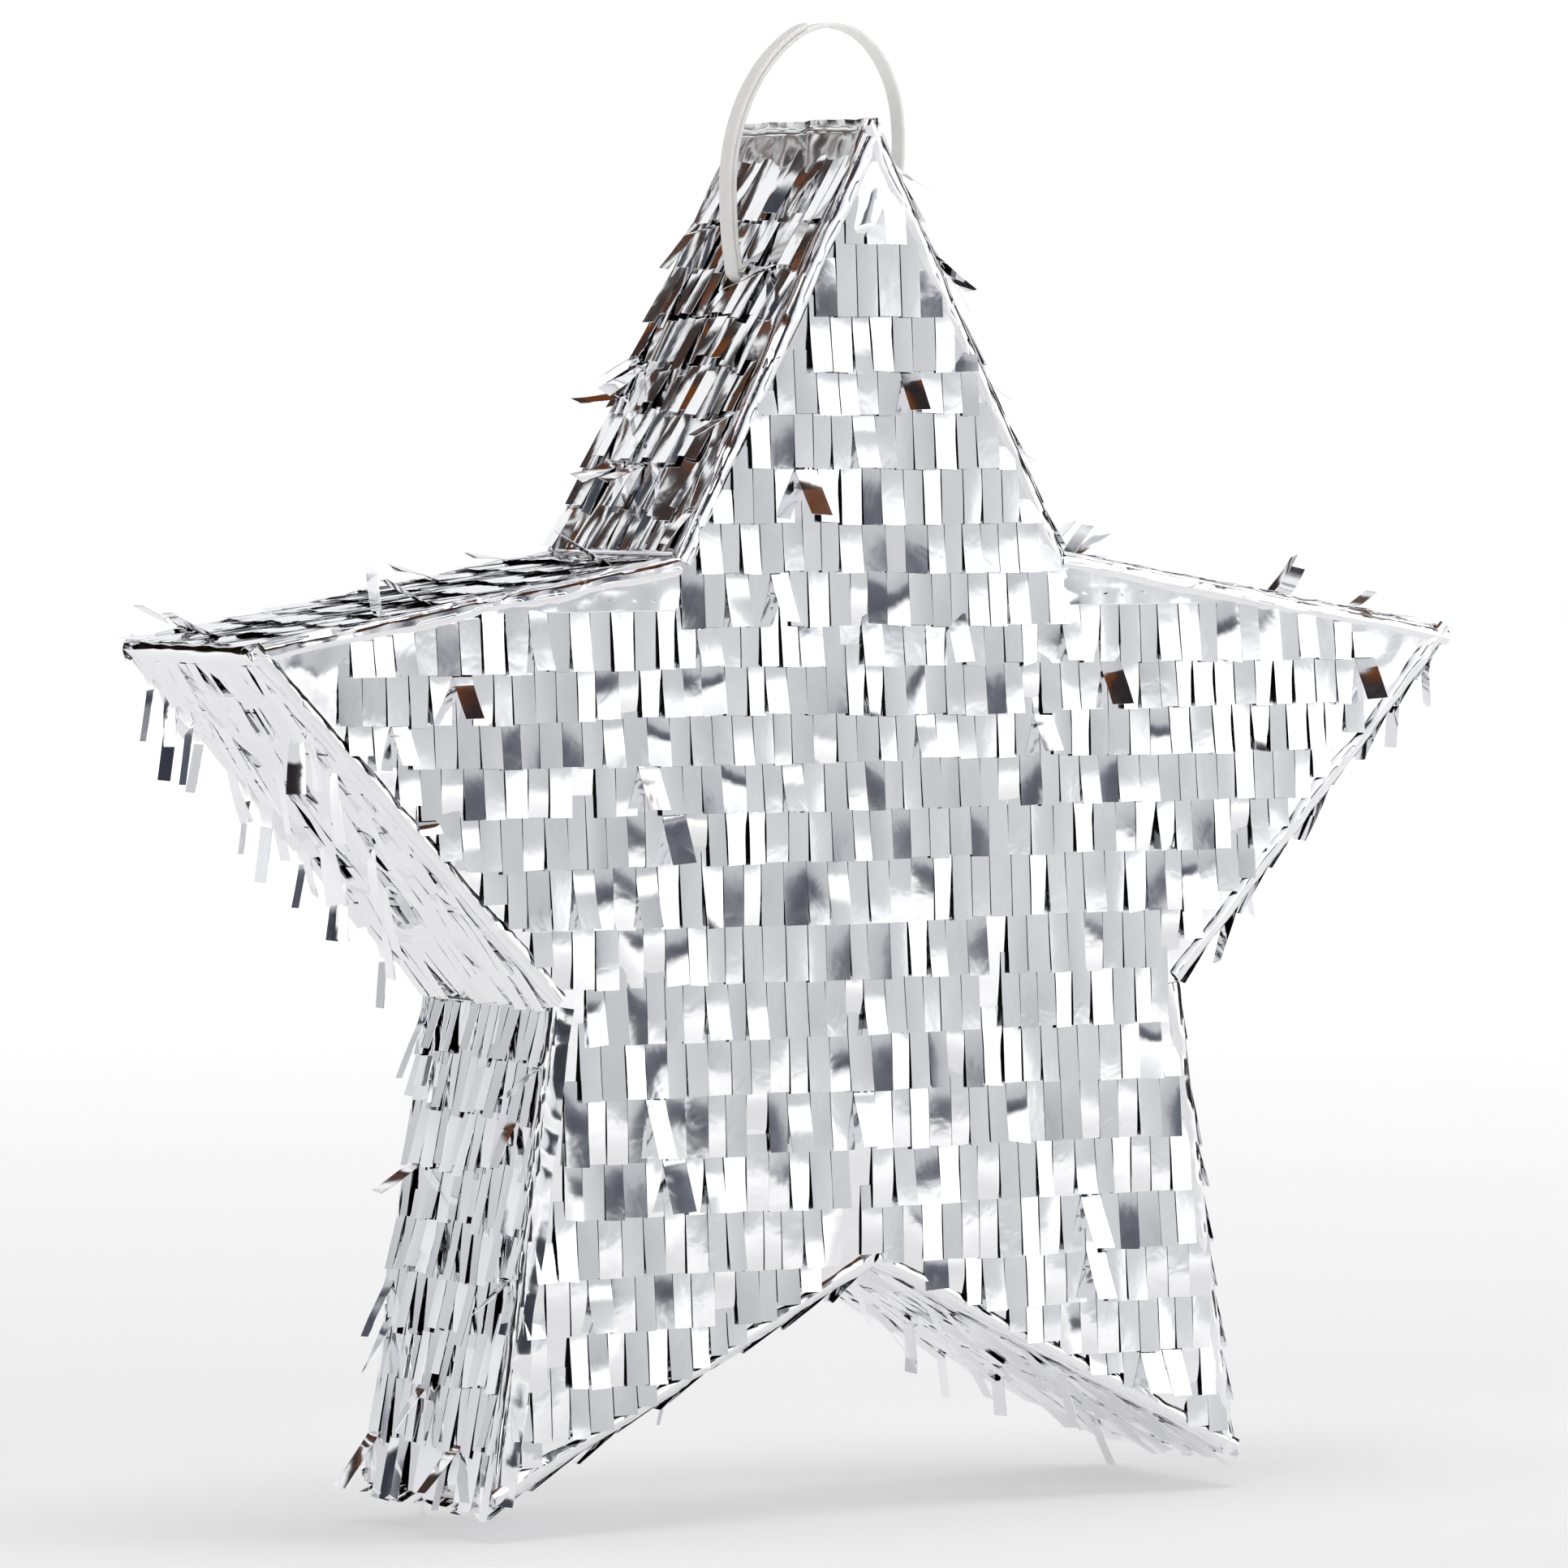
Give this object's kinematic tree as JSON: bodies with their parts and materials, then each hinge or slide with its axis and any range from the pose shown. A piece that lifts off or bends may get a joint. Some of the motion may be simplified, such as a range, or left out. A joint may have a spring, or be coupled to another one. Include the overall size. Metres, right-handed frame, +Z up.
{
  "type": "pinata",
  "caption": "Hollow star-shaped pinata covered in overlapping rows of silver foil fringe, hung by a nylon tie loop, with a hinged fill flap in its back.",
  "frame": {"origin": "on the inside of the hanging loop, straight above the middle of the star, where a hook bears", "axes": "+Z up, -Y towards the front face, +X to the right as seen from the front"},
  "size_m": [0.3302, 0.0623, 0.3359],
  "materials": {
    "silver_foil": "polished",
    "cardboard": "matte",
    "nylon": "satin"
  },
  "bodies": {
    "hanging_loop": {"hanging_tie": "nylon"},
    "star_body": {"back_fringe_01": "silver_foil", "back_fringe_02": "silver_foil", "back_fringe_03": "silver_foil", "back_fringe_04": "silver_foil", "back_fringe_05": "silver_foil", "back_fringe_06": "silver_foil", "back_fringe_07_left": "silver_foil", "back_fringe_07_right": "silver_foil", "back_fringe_08_left": "silver_foil", "back_fringe_08_right": "silver_foil", "back_fringe_09": "silver_foil", "back_fringe_10": "silver_foil", "back_fringe_11": "silver_foil", "back_fringe_12_left": "silver_foil", "back_fringe_12_right": "silver_foil", "back_fringe_13_left": "silver_foil", "back_fringe_13_right": "silver_foil", "back_panel": "cardboard", "front_fringe_01": "silver_foil", "front_fringe_02": "silver_foil", "front_fringe_03": "silver_foil", "front_fringe_04": "silver_foil", "front_fringe_05": "silver_foil", "front_fringe_06": "silver_foil", "front_fringe_07": "silver_foil", "front_fringe_08": "silver_foil", "front_fringe_09": "silver_foil", "front_fringe_10": "silver_foil", "front_fringe_11": "silver_foil", "front_fringe_12": "silver_foil", "front_fringe_13": "silver_foil", "front_fringe_14": "silver_foil", "front_fringe_15": "silver_foil", "front_fringe_16": "silver_foil", "front_fringe_17": "silver_foil", "front_fringe_18": "silver_foil", "front_fringe_19": "silver_foil", "front_fringe_20": "silver_foil", "front_fringe_21": "silver_foil", "front_fringe_22_left_leg": "silver_foil", "front_fringe_22_right_leg": "silver_foil", "front_fringe_23_left_leg": "silver_foil", "front_fringe_23_right_leg": "silver_foil", "front_fringe_24_left_leg": "silver_foil", "front_fringe_24_right_leg": "silver_foil", "front_panel": "cardboard", "side_fringe_crotch": "silver_foil", "side_fringe_left": "silver_foil", "side_fringe_right": "silver_foil", "side_fringe_top_left": "silver_foil", "side_fringe_top_right": "silver_foil", "side_wall_crotch": "cardboard", "side_wall_left": "cardboard", "side_wall_right": "cardboard", "side_wall_top_left": "cardboard", "side_wall_top_right": "cardboard"},
    "flap": {"fill_flap": "cardboard", "fringe_fill_flap": "silver_foil"}
  },
  "joints": [
    {"name": "body_swing", "type": "hinge", "parent": "hanging_loop", "child": "star_body", "pos_m": [0, 0, -0.0572], "axis": [1, 0, 0], "range_deg": [-75, 75]},
    {"name": "flap_fold", "type": "hinge", "parent": "star_body", "child": "flap", "pos_m": [0, 0.02875, -0.1798], "axis": [1, 0, 0], "range_deg": [0, 100]}
  ]
}
